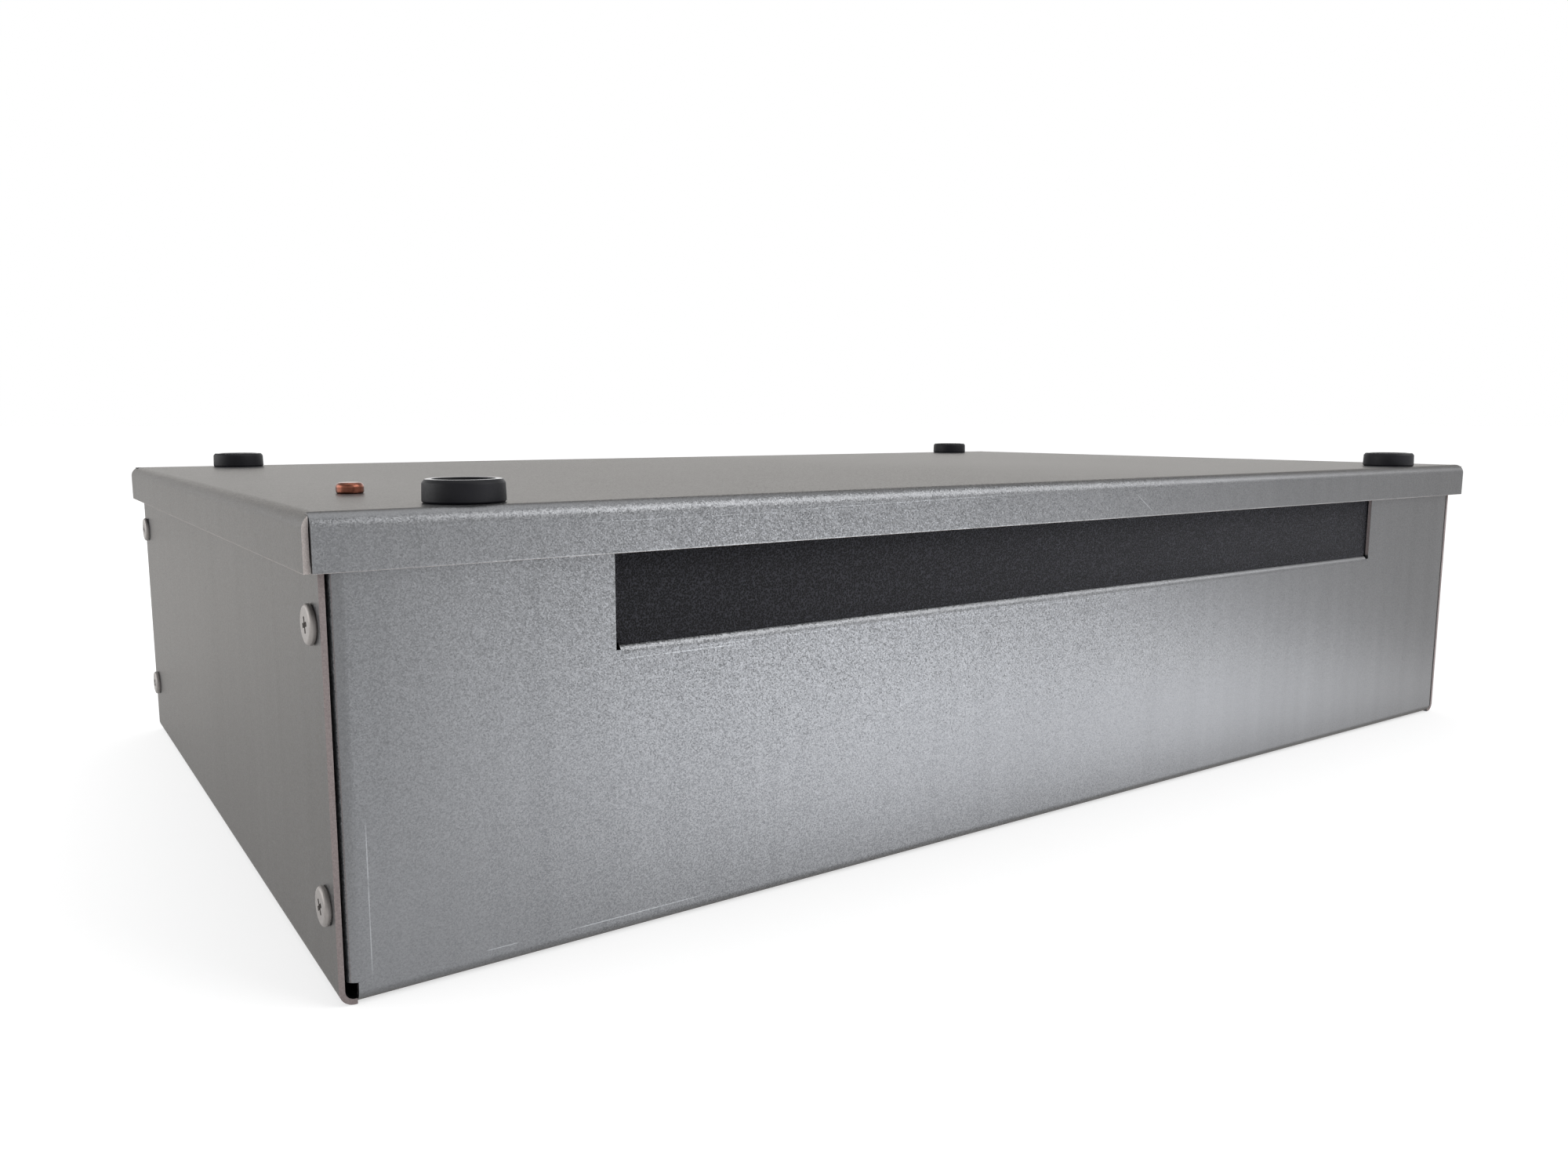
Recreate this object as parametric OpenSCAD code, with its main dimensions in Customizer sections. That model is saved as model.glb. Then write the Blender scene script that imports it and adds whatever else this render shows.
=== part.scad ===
// Electrical distribution box: a folded steel tray with a foam-filled cable slot, a lift-off lid
// that carries four rubber feet, and a terminal rail inside. Millimetres, +Z up, slot facing -Y,
// origin on the ground under the middle of the tray.

/* [Sheet] */
// Thickness of the zinc-coated sheet
sheet_t = 1.2; // [0.8:0.1:1.5]
// Inner radius of the folds in the tray
fold_r = 2.0; // [1.5:0.1:2.5]

/* [Tray] */
// Width over the side walls
tray_w = 434.4; // [400:0.2:520]
// Depth over the front and rear walls
tray_d = 262.4; // [240:0.2:320]
// Height of the walls, up to the underside of the lid
tray_h = 98.9; // [90:0.1:130]
// How far the side walls' cut edges stand behind the front and rear faces
edge_setback = 0.9; // [0.5:0.1:2.5]
// Depth of the flanges tucked inside the side walls
flange_d = 18; // [16:0.5:26]
// Gap between a side wall and a tucked flange
flange_gap = 0.15; // [0.1:0.05:0.4]
// Height of the square relief at each bottom corner
relief_h = 4.8; // [4:0.1:8]
// How far a corner relief runs past the side fold
relief_play = 0.5; // [0.2:0.1:1]
// Slit left between the side fold's floor strip and the front or rear fold
relief_slit = 0.1; // [0.05:0.05:0.2]

/* [Cable slot] */
// Mean distance from a side wall's outer face to the slot
slot_margin = 60.8; // [50:0.1:90]
// How far the slot sits to the right of the tray's middle
slot_shift = 2; // [-4:0.1:4]
// Depth of the slot below the top edge of the wall
slot_drop = 31.2; // [24:0.1:40]
// How far the folded sill reaches back from the front face
sill_d = 18; // [16:0.5:22]
// Inner radius of the sill fold
sill_r = 1.0; // [0.8:0.1:2]
// Width of the relief cut at each end of the sill
sill_relief_w = 1.2; // [0.8:0.1:2]
// Depth of that relief below the sill's upper face
sill_relief_h = 1.3; // [0.8:0.1:1.6]

/* [Foam strip] */
// Depth of the foam, front to back
foam_d = 15; // [10:0.5:16]
// How far the foam runs behind the wall past each end of the slot
foam_lap = 4; // [2:0.5:8]
// Gap between the foam and the back of the front wall
foam_wall_gap = 0.2; // [0.1:0.1:0.5]
// Gap between the foam and the lid
foam_lid_gap = 0.3; // [0.2:0.1:1]

/* [Lid] */
// Play between the lid's skirts and the tray's walls, which is also the lid's inner fold radius
lid_play = 2.0; // [1.5:0.1:2.6]
// Height of the skirts, with the lid's thickness
skirt_h = 11.6; // [8:0.1:16]
// How far the side skirts' cut edges stand behind the front and rear skirts
skirt_setback = 1.0; // [0.5:0.1:2]
// Width of the open slit between two skirts at a corner
corner_slit = 0.2; // [0.1:0.05:0.6]

/* [Feet] */
// Diameter of a rubber foot
foot_d = 17.5; // [15:0.5:20]
// Height of a foot
foot_h = 5; // [4.5:0.1:8]
// Width of the bevel round a foot's rim
foot_bevel = 0.8; // [0.4:0.1:1.2]
// Width of the smaller bevel round its lower edge
foot_base_bevel = 0.4; // [0.2:0.1:0.8]
// Diameter of the recess for the screw head
foot_recess_d = 13.3; // [11:0.1:14]
// Depth of that recess
foot_recess_h = 3.2; // [2.6:0.1:3.4]
// Distance from a side wall to the middle of a foot
foot_x = 32.3; // [28:0.1:40]
// Distance from the front or rear wall to the rim of a foot
foot_edge = 0.1; // [0:0.05:3]

/* [Copper stud] */
// Diameter of the button head
button_d = 6.4; // [6:0.1:8]
// Height of the button head
button_h = 2.6; // [2.4:0.1:3]
// Radius of the button's upper edge
button_edge = 1.1; // [0.6:0.1:1.3]
// Radius of its lower edge
button_low_edge = 0.5; // [0.3:0.1:0.8]
// Length of the shank under the head
button_shank = 12; // [8:0.5:20]
// Distance from the left wall
button_x = 20.8; // [16:0.1:30]
// Distance from the front wall
button_y = 54; // [40:1:80]

/* [Small fasteners] */
// Thread diameter of the case screws
screw_d = 4; // [3.5:0.1:4.5]
// Radial clearance of a screw or stud in its hole
hole_play = 0.2; // [0.1:0.05:0.3]
// Radial clearance of a thread in its nut
nut_play = 0.05; // [0.02:0.01:0.1]
// Diameter of the pan head
head_d = 8.4; // [7.8:0.1:9]
// Height of the pan head, with its collar
head_h = 1.4; // [1.3:0.1:2.6]
// Radius of the head's upper edge
head_edge = 0.8; // [0.5:0.1:0.9]
// Diameter of the collar that the head stands on
collar_d = 7.6; // [6:0.1:7.8]
// Height of that collar
collar_h = 0.3; // [0.2:0.1:0.4]
// Length of the arms of the cross recess, tip to tip
cross_l = 3.4; // [3:0.1:4.4]
// Width of those arms
cross_w = 1; // [0.7:0.1:1.2]
// Depth of the cross recess
cross_depth = 0.7; // [0.5:0.1:0.9]
// Length of the side screws under the head
side_screw_l = 10; // [6:0.5:14]
// Distance of the side screws from the front or rear face
side_screw_inset = 7.5; // [6.5:0.1:12]
// Height of the lower side screws
side_screw_low = 19.4; // [14:0.1:30]
// Drop of the upper side screws from the top of the wall
side_screw_drop = 21.5; // [18:0.1:30]
// Height of a nut, as a share of its thread diameter
nut_share = 0.8; // [0.7:0.05:0.9]
// Width across flats of a nut, as a share of its thread diameter
flats_share = 1.7; // [1.6:0.05:1.8]
// Thickness of a flat washer
washer_t = 0.8; // [0.6:0.1:1.2]
// Width of a washer's ring
washer_ring = 2.6; // [2:0.1:4]
// Length of thread that stands past a nut
thread_past = 1.2; // [0.8:0.1:3]

/* [Terminal rail] */
// Width over the lips of the rail
rail_w = 35; // [32:0.5:38]
// Height of the rail
rail_h = 7.5; // [7:0.1:10]
// Thickness of the rail's sheet
rail_t = 1; // [0.9:0.1:1.2]
// Width over the rail's channel
channel_w = 27; // [25:0.5:28]
// Inner radius of the rail's folds
rail_r = 0.8; // [0.5:0.1:1]
// Distance from a side wall to the end of the rail
rail_margin = 70; // [60:1:90]
// Place of the rail behind the tray's middle
rail_y = 20; // [10:1:40]
// Distance of the rail's studs from its ends
rail_stud_inset = 25; // [15:1:35]
// Diameter of the rail's studs
rail_stud_d = 5; // [4:0.5:6]
// Length of the slots along the rail's floor
rail_slot_l = 15; // [10:0.5:18]
// Width of those slots
rail_slot_w = 6.2; // [5:0.1:8]
// Distance from slot to slot
rail_slot_pitch = 25; // [22:0.5:30]

/* [Terminals] */
// Number of line terminals
line_count = 6; // [2:1:6]
// Number of neutral terminals
neutral_count = 4; // [2:1:6]
// Number of earth terminals
earth_count = 4; // [1:1:6]
// Thickness of one terminal
term_t = 8; // [6:0.5:8]
// Gap between terminals
term_gap = 0.1; // [0.05:0.05:0.3]
// Depth of a terminal across the rail
term_d = 48; // [46:1:56]
// Height of a terminal above the rail's lips
term_h = 38; // [36:1:44]
// Width of the bridge groove along the top
groove_w = 10; // [8:0.5:11]
// Depth of that groove
groove_h = 7; // [5:0.5:8]
// How far the screw towers stand in from the wire faces
tower_in = 5; // [3:0.5:6]
// Height of the wire faces
wire_face_h = 20; // [18:0.5:22]
// Diameter of a wire entry
wire_d = 5.6; // [4:0.1:5.8]
// Height of the wire entries above the lips
wire_z = 11; // [8:0.5:12]
// Diameter of the funnel at the mouth of a wire entry
funnel_d = 7; // [6.2:0.1:7.4]
// Depth of that funnel
funnel_l = 2; // [1:0.1:3]
// Width of the marker groove along the top of each tower
marker_w = 2.6; // [2:0.1:3]
// Depth of that groove
marker_h = 1.6; // [1:0.1:2.5]
// Width of the rib outside that groove
marker_rib = 1; // [0.8:0.1:1.2]
// Thickness of a terminal's closed side
term_wall = 0.8; // [0.6:0.1:1]
// Clearance round the metal pieces in a terminal
inner_gap = 0.2; // [0.1:0.05:0.3]
// Thickness of a clamp cage's walls
cage_wall = 1; // [0.8:0.1:1.2]
// Length of a clamp cage along the wire
cage_l = 7; // [6:0.5:8]
// Travel of a clamp cage along its screw
cage_travel = 1.2; // [0.8:0.1:1.6]
// Thickness of a current bar
current_t = 1.5; // [1.2:0.1:2]
// Diameter of a clamp screw's well
well_d = 5; // [4.6:0.1:5.4]
// Depth of that well
well_h = 12; // [8:0.5:14]
// Diameter of a clamp screw's head
clamp_d = 4.4; // [4:0.1:4.5]
// Height of a clamp screw's head
clamp_h = 2.4; // [1.8:0.1:3]
// Thread diameter of the terminals' screws
clamp_thread = 3; // [2.6:0.1:3.2]
// Thickness of the plate that closes the end of the row
plate_t = 1.5; // [1.2:0.1:2]
// Width of the claws that grip the rail's lips
claw_w = 2.5; // [2:0.1:3]
// Reach of a claw's tooth under the lip
tooth = 1.1; // [0.8:0.1:1.4]
// Gap between the claws and the lips
claw_gap = 0.2; // [0.1:0.05:0.3]
// Thickness of an end stop
stop_t = 9.5; // [8:0.5:12]
// Height of an end stop above the lips
stop_h = 26; // [20:1:34]
// Width of a bridge bar
bridge_w = 7; // [5:0.5:7.5]
// Thickness of a bridge bar
bridge_t = 1.6; // [1.2:0.1:2]

/* [Tie bar] */
// Diameter of the bar that cables are tied to
bar_d = 8; // [7:0.5:10]
// Diameter of the bar's turned-down ends
pivot_d = 6; // [5:0.5:6]
// Clearance of the ends in the brackets
pivot_play = 0.1; // [0.05:0.05:0.2]
// Distance from a side wall to a bracket
bar_margin = 75; // [65:1:95]
// Distance of the bar from the front face
bar_y = 46; // [40:1:55]
// Height of the bar's middle
bar_z = 52; // [40:1:60]
// Thickness of the brackets' sheet
bracket_t = 1.5; // [1.2:0.1:2]
// Width of a bracket
bracket_w = 20; // [16:1:26]
// Length of a bracket's foot
bracket_foot = 18; // [16:1:24]
// Sheet left round the bar's hole at the top of a bracket
bracket_rim = 7; // [6:0.5:10]
// Diameter of the push-on clips
clip_d = 12; // [10:0.5:14]
// Thickness of the clips
clip_t = 0.8; // [0.6:0.1:1.2]

/* [Earth stud] */
// Diameter of the earth stud
earth_d = 6; // [5:0.5:8]
// Length of the earth stud
earth_l = 24; // [20:1:30]
// Distance of the earth stud from the left wall
earth_x = 36; // [28:1:45]
// Distance of the earth stud from the rear wall
earth_y = 60; // [40:1:80]
// Gap for a cable lug between the two washers on the stud
lug_gap = 0.3; // [0.2:0.1:3]

/* [Hidden] */
$fn = 64;
// Length by which cutting shapes run past what they cut
past = 1;
// Overlap of the flats where two stretches of one sheet are joined
lap = 1;
hx = tray_w / 2;
hy = tray_d / 2;
fold_out = fold_r + sheet_t;
floor_z = sheet_t;
flange_x = sheet_t + flange_gap;
relief_w = fold_out + relief_play;
strip_edge = relief_w - relief_slit;
sill_z = tray_h - slot_drop;
sill_out = sill_r + sheet_t;
slot_x = hx - slot_margin;
lid_out = lid_play + sheet_t;
lid_x = hx + lid_out;
lid_y = hy + lid_out;
lid_z = tray_h + sheet_t;
slit_edge = sheet_t + corner_slit / 2;
skirt_edge = sheet_t + corner_slit;
hole_d = screw_d + 2 * hole_play;
foot_y = foot_edge + foot_d / 2;
foot_seat = lid_z + foot_h - foot_recess_h;
foot_places = [for (x = [-1, 1], y = [-1, 1]) [x * (hx - foot_x), y * (hy - foot_y)]];
foot_names = ["foot_front_left", "foot_rear_left", "foot_front_right", "foot_rear_right"];
button_at = [-hx + button_x, -hy + button_y];
side_screw_z = [side_screw_low, tray_h - side_screw_drop];
side_screw_y = [-hy + side_screw_inset, hy - side_screw_inset];
// Angles at which the four screws of a set happened to stop
screw_turns = [32, 14, 55, 78];
rail_x = hx - rail_margin;
rail_stud_x = rail_x - rail_stud_inset;
lip_z = floor_z + rail_h;
pitch = term_t + term_gap;
term_count = line_count + neutral_count + earth_count;
row_x = -(term_count - 1) / 2 * pitch;
row_end = term_count / 2 * pitch;
tower_y = (term_d / 2 - tower_in + groove_w / 2) / 2;
groove_z = term_h - groove_h;
well_z = term_h - well_h;
cage_w = term_t - 2 * (term_wall + inner_gap);
cage_z = wire_z - wire_d / 2;
current_z = wire_z + wire_d / 2;
current_w = cage_w - 2 * (cage_wall + inner_gap);
cage_h = current_z + current_t + cage_travel + 2 * cage_wall - cage_z;
screw_play = 2 * inner_gap;
bar_x = hx - bar_margin;
bar_at = -hy + bar_y;
bracket_stud_x = bar_x + bracket_t + (bracket_foot - bracket_t) / 2;
earth_at = [-hx + earth_x, hy - earth_y];

zinc = "#8f9294";
rubber = "#2a2b2f";
bright = "#b0aeab";
brass = "#b59a56";

line_names = [for (i = [1:line_count]) str("line_terminal_", i)];
neutral_names = [for (i = [1:neutral_count]) str("neutral_terminal_", i)];
earth_names = [for (i = [1:earth_count]) str("earth_terminal_", i)];
term_names = concat(line_names, neutral_names, earth_names);

// A section in the YZ plane, drawn along X from x0 to x1
module along_x(x0, x1) {
    translate([x0, 0, 0])
        rotate([90, 0, 90])
            linear_extrude(x1 - x0) children();
}

// A section in the XZ plane, drawn along Y from y0 to y1
module along_y(y0, y1) {
    translate([0, y1, 0])
        rotate([90, 0, 0])
            linear_extrude(y1 - y0) children();
}

// The children and their mirror image on the other side of the YZ plane
module both_sides() {
    children();
    mirror([1, 0, 0]) children();
}

// Rectangle from the origin with the corner at the origin rounded
module one_round(size, r) {
    difference() {
        square(size);
        difference() {
            translate([-past, -past]) square(r + past);
            translate([r, r]) circle(r);
        }
    }
}

// Rectangle centred on x, standing on y = 0, with both lower corners rounded
module round_foot(w, h, r) {
    intersection() {
        translate([-w / 2, 0]) one_round([w, h], r);
        mirror([1, 0]) translate([-w / 2, 0]) one_round([w, h], r);
    }
}

// Folded edge: a flat of length a along x and a wall of height b along y, outer faces on the axes
module fold_section(a, b, t, ri) {
    difference() {
        one_round([a, b], ri + t);
        translate([t, t]) one_round([a, b], ri);
    }
}

// Folded channel, open upwards
module channel_section(w, h, t, ri) {
    difference() {
        round_foot(w, h, ri + t);
        translate([0, t]) round_foot(w - 2 * t, h, ri);
    }
}

// Front wall without its slot: folded up from the floor, with a flange tucked behind each side wall
module end_wall() {
    difference() {
        translate([0, -hy, 0])
            along_x(-hx + relief_w, hx - relief_w)
                fold_section(fold_out + lap, tray_h, sheet_t, fold_r);
        both_sides()
            translate([-hx, -hy - past, relief_h])
                cube([flange_x + fold_out, fold_out + lap + 2 * past, tray_h]);
    }
    both_sides()
        translate([-hx + flange_x, -hy, relief_h])
            linear_extrude(tray_h - relief_h)
                fold_section(fold_out + lap, flange_d, sheet_t, fold_r);
}

// Floor and side walls, cut back at the front and rear folds
module floor_and_sides() {
    difference() {
        along_y(-hy + edge_setback, hy - edge_setback)
            channel_section(tray_w, tray_h, sheet_t, fold_r);
        for (turn = [0, 180])
            rotate([0, 0, turn])
                translate([-hx + strip_edge, -hy - past, -past])
                    cube([tray_w - 2 * strip_edge, fold_out + past, fold_out + past]);
    }
}

// Opening cut down from the top edge of the front wall, with a relief at each end of the sill
module slot_cut() {
    translate([slot_shift - slot_x, -hy - past, sill_z - sill_relief_h])
        cube([2 * slot_x, sheet_t + 2 * past, slot_drop + sill_relief_h + past]);
    translate([slot_shift - slot_x + sill_relief_w, -hy - past, sill_z - sill_out])
        cube([2 * (slot_x - sill_relief_w), sheet_t + 2 * past, slot_drop]);
}

// Lower edge of the slot, folded back as a smooth sill
module sill() {
    translate([slot_shift, -hy, sill_z])
        along_x(-slot_x + sill_relief_w, slot_x - sill_relief_w)
            mirror([0, 1])
                fold_section(sill_d, sill_out + lap, sheet_t, sill_r);
}

module base_tray() {
    color(zinc)
        difference() {
            union() {
                floor_and_sides();
                difference() {
                    end_wall();
                    slot_cut();
                }
                sill();
                mirror([0, 1, 0]) end_wall();
            }
            for (y = side_screw_y, z = side_screw_z)
                translate([-hx - past, y, z])
                    rotate([0, 90, 0])
                        cylinder(d = hole_d, h = tray_w + 2 * past);
        }
}

module lid() {
    color(zinc)
        difference() {
            union() {
                difference() {
                    along_y(-lid_y + skirt_setback, lid_y - skirt_setback)
                        translate([0, lid_z])
                            mirror([0, 1])
                                channel_section(2 * lid_x, skirt_h, sheet_t, lid_play);
                    for (turn = [0, 180])
                        rotate([0, 0, turn])
                            translate([-lid_x + slit_edge, -lid_y - past, lid_z - skirt_h - past])
                                cube([2 * (lid_x - slit_edge), lid_out + past, skirt_h + 2 * past]);
                }
                for (turn = [0, 180])
                    rotate([0, 0, turn])
                        translate([0, -lid_y, lid_z])
                            along_x(-lid_x + skirt_edge, lid_x - skirt_edge)
                                mirror([0, 1])
                                    fold_section(lid_out + lap, skirt_h, sheet_t, lid_play);
            }
            for (at = concat(foot_places, [button_at]))
                translate([at.x, at.y, tray_h - past])
                    cylinder(d = hole_d, h = sheet_t + 2 * past);
        }
}

module foam_strip() {
    color("#333336")
        translate([slot_shift - slot_x - foam_lap, -hy + sheet_t + foam_wall_gap, sill_z])
            cube([2 * (slot_x + foam_lap), foam_d, slot_drop - foam_lid_gap]);
}

// Rubber ring with bevelled edges, a wide screw recess and a through hole
module foot(at) {
    r = foot_d / 2;
    color(rubber)
        translate([at.x, at.y, lid_z])
            difference() {
                rotate_extrude()
                    polygon([[0, 0], [r - foot_base_bevel, 0], [r, foot_base_bevel],
                        [r, foot_h - foot_bevel], [r - foot_bevel, foot_h], [0, foot_h]]);
                translate([0, 0, foot_h - foot_recess_h])
                    cylinder(d = foot_recess_d, h = foot_recess_h + past);
                translate([0, 0, -past]) cylinder(d = hole_d, h = foot_h);
            }
}

// Pan-head screw with a cross recess, head up, seated on z = 0 by its collar, turned about its axis
module pan_screw(length, turned) {
    flat = head_d / 2 - head_edge;
    difference() {
        rotate_extrude() {
            square([collar_d / 2, collar_h]);
            translate([0, collar_h]) square([head_d / 2, head_h - head_edge - collar_h]);
            translate([0, collar_h]) square([flat, head_h - collar_h]);
            translate([flat, head_h - head_edge])
                intersection() {
                    circle(head_edge);
                    square(head_edge);
                }
        }
        for (turn = [0, 90])
            rotate([0, 0, turned + turn])
                translate([-cross_l / 2, -cross_w / 2, head_h - cross_depth])
                    cube([cross_l, cross_w, cross_depth + past]);
    }
    translate([0, 0, -length]) cylinder(d = screw_d, h = length + collar_h);
}

// Hexagon nut for a thread of diameter d, seated on z = 0
module nut(d) {
    difference() {
        cylinder(d = flats_share * d / cos(30), h = nut_share * d, $fn = 6);
        translate([0, 0, -past]) cylinder(d = d + 2 * nut_play, h = nut_share * d + 2 * past);
    }
}

module washer(d) {
    difference() {
        cylinder(d = d + 2 * hole_play + 2 * washer_ring, h = washer_t);
        translate([0, 0, -past]) cylinder(d = d + 2 * hole_play, h = washer_t + 2 * past);
    }
}

module foot_screws() {
    reach = foot_seat - tray_h + nut_share * screw_d + thread_past;
    color(bright)
        for (i = [0:len(foot_places) - 1])
            translate([foot_places[i].x, foot_places[i].y, foot_seat]) pan_screw(reach, screw_turns[i]);
}

module foot_nuts() {
    color(bright)
        for (at = foot_places) translate([at.x, at.y, tray_h]) mirror([0, 0, 1]) nut(screw_d);
}

module copper_stud() {
    color("#b06a4c")
        translate([button_at.x, button_at.y, lid_z]) {
            rotate_extrude() {
                square([button_d / 2 - button_edge, button_h]);
                square([button_d / 2 - button_low_edge, button_h - button_edge]);
                translate([0, button_low_edge])
                    square([button_d / 2, button_h - button_edge - button_low_edge]);
                translate([button_d / 2 - button_edge, button_h - button_edge]) circle(button_edge);
                translate([button_d / 2 - button_low_edge, button_low_edge]) circle(button_low_edge);
            }
            translate([0, 0, -button_shank]) cylinder(d = screw_d, h = button_shank + button_h / 2);
        }
}

module copper_stud_washer() {
    color(bright)
        translate([button_at.x, button_at.y, tray_h - washer_t]) washer(screw_d);
}

module copper_stud_nut() {
    color(bright)
        translate([button_at.x, button_at.y, tray_h - washer_t]) mirror([0, 0, 1]) nut(screw_d);
}

// Four screws through one side wall into the tucked flanges; side is -1 or 1
module side_screws(side) {
    color(bright)
        for (i = [0, 1], j = [0, 1])
            translate([side * hx, side_screw_y[i], side_screw_z[j]])
                rotate([0, side * 90, 0])
                    pan_screw(side_screw_l, screw_turns[2 * i + j]);
}

// Half of the top-hat section, for y above 0
module half_rail_section() {
    out = rail_r + rail_t;
    leg = channel_w / 2;
    square([leg - out, rail_t]);
    translate([leg - out, out])
        intersection() {
            translate([0, -out]) square(out);
            difference() {
                circle(out);
                circle(rail_r);
            }
        }
    translate([leg - rail_t, out]) square([rail_t, rail_h - 2 * out]);
    translate([leg - rail_t + out, rail_h - out])
        intersection() {
            translate([-out, 0]) square(out);
            difference() {
                circle(out);
                circle(rail_r);
            }
        }
    translate([leg - rail_t + out, rail_h - rail_t]) square([rail_w / 2 - leg + rail_t - out, rail_t]);
}

// Oblong with round ends, along x
module oblong(l, w) {
    square([l - w, w], center = true);
    for (side = [-1, 1]) translate([side * (l - w) / 2, 0]) circle(d = w);
}

// Rail with a hole for each stud and a row of slots between the studs
module terminal_rail() {
    last = floor((rail_stud_x - rail_stud_d - rail_slot_l / 2) / rail_slot_pitch);
    color("#a8abad")
        difference() {
            translate([0, rail_y, floor_z])
                along_x(-rail_x, rail_x) {
                    half_rail_section();
                    mirror([1, 0]) half_rail_section();
                }
            both_sides()
                translate([rail_stud_x, rail_y, floor_z - past])
                    cylinder(d = rail_stud_d + 2 * hole_play, h = rail_t + 2 * past);
            for (i = [-last:last])
                translate([i * rail_slot_pitch, rail_y, floor_z - past])
                    linear_extrude(rail_t + 2 * past) oblong(rail_slot_l, rail_slot_w);
        }
}

module rail_studs() {
    color(bright)
        both_sides()
            translate([rail_stud_x, rail_y, floor_z])
                cylinder(d = rail_stud_d, h = rail_t + nut_share * rail_stud_d + thread_past);
}

module rail_nuts() {
    color(bright)
        both_sides()
            translate([rail_stud_x, rail_y, floor_z + rail_t]) nut(rail_stud_d);
}

// Claws under a rail-mounted block, gripping both lips
module claws() {
    inner = rail_w / 2 + claw_gap;
    under = rail_t + claw_gap;
    for (side = [0, 1])
        mirror([side, 0]) {
            translate([inner, -under - tooth]) square([claw_w, under + tooth + lap]);
            translate([inner - tooth, -under - tooth]) square([tooth + claw_w, tooth]);
        }
}

// Outline of a terminal across the rail: wire faces, shoulders, a bridge groove, and two screw towers
// with a marker groove each
module terminal_section() {
    face = term_d / 2;
    tower = face - tower_in;
    right = [
        [face, 0], [face, wire_face_h], [tower, wire_face_h + tower_in], [tower, term_h],
        [groove_w / 2, term_h], [groove_w / 2, groove_z]
    ];
    left = [for (i = [len(right) - 1:-1:0]) [-right[i].x, right[i].y]];
    difference() {
        polygon(concat(right, left));
        for (side = [0, 1])
            mirror([side, 0])
                translate([tower - marker_rib - marker_w, term_h - marker_h])
                    square([marker_w, marker_h + past]);
    }
    claws();
}

// Hollow of a terminal, open on the +X side, for a piece of width w that fills the section
module inner_space(w) {
    along_x(-w / 2 - inner_gap, term_t / 2 + past) children();
}

// One terminal of the row: wire entries in both faces, a screw well in each tower, and inside,
// open to the next block, room for two clamp cages and the current bar between them
module terminal(index) {
    cage_space = cage_l + 2 * inner_gap;
    translate([row_x + index * pitch, rail_y, lip_z])
        difference() {
            along_x(-term_t / 2, term_t / 2) terminal_section();
            for (turn = [0, 180])
                rotate([0, 0, turn]) {
                    translate([0, -term_d / 2 - past, wire_z])
                        rotate([-90, 0, 0])
                            cylinder(d = wire_d, h = term_d / 2 - tower_y + past);
                    translate([0, -term_d / 2, wire_z])
                        rotate([-90, 0, 0])
                            cylinder(d1 = funnel_d, d2 = wire_d, h = funnel_l);
                    translate([0, tower_y, well_z])
                        cylinder(d = well_d, h = well_h + past);
                    translate([0, tower_y, cage_z])
                        cylinder(d = clamp_thread + screw_play, h = well_z - cage_z + past);
                }
            inner_space(cage_w)
                for (y = [-tower_y, tower_y])
                    translate([y - cage_space / 2, cage_z - inner_gap])
                        square([cage_space, cage_h + screw_play]);
            inner_space(current_w)
                translate([-tower_y, current_z - inner_gap])
                    square([2 * tower_y, current_t + screw_play]);
            translate([0, 0, current_z])
                cylinder(d = clamp_thread + screw_play, h = groove_z - current_z + past);
        }
}

// Plate that closes the open side of the last terminal
module end_plate() {
    color("#74777b")
        translate([0, rail_y, lip_z])
            along_x(row_end + term_gap / 2, row_end + term_gap / 2 + plate_t) terminal_section();
}

// Rectangular loop round the wire and the current bar, with a thick threaded head
module clamp_cages() {
    color(bright)
        for (i = [0:term_count - 1], y = [-tower_y, tower_y])
            translate([row_x + i * pitch, rail_y + y, lip_z + cage_z])
                difference() {
                    translate([-cage_w / 2, -cage_l / 2, 0]) cube([cage_w, cage_l, cage_h]);
                    translate([-cage_w / 2 + cage_wall, -cage_l / 2 - past, cage_wall])
                        cube([cage_w - 2 * cage_wall, cage_l + 2 * past, cage_h - 3 * cage_wall]);
                    translate([0, 0, cage_h / 2])
                        cylinder(d = clamp_thread + 2 * nut_play, h = cage_h / 2 + past);
                }
}

// Flat bar through both cages of a terminal, with a thread in the middle for the bridge screw
module current_bars() {
    reach = tower_y + cage_l / 2;
    color(brass)
        for (i = [0:term_count - 1])
            translate([row_x + i * pitch, rail_y, lip_z + current_z])
                difference() {
                    translate([-current_w / 2, -reach, 0]) cube([current_w, 2 * reach, current_t]);
                    translate([0, 0, -past])
                        cylinder(d = clamp_thread + 2 * nut_play, h = current_t + 2 * past);
                }
}

// Slotted screw with its head seated on z = 0
module slot_screw(length) {
    slot_w = clamp_d / 5;
    slot_h = clamp_h / 3;
    difference() {
        cylinder(d = clamp_d, h = clamp_h);
        translate([-clamp_d, -slot_w / 2, clamp_h - slot_h]) cube([2 * clamp_d, slot_w, clamp_h]);
    }
    translate([0, 0, -length]) cylinder(d = clamp_thread, h = length + clamp_h / 2);
}

// Screws in the wells, down to the current bars
module clamp_screws() {
    reach = well_z - current_z - current_t - inner_gap;
    color(brass)
        for (i = [0:term_count - 1], y = [-tower_y, tower_y])
            translate([row_x + i * pitch, rail_y + y, lip_z + well_z]) slot_screw(reach);
}

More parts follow.
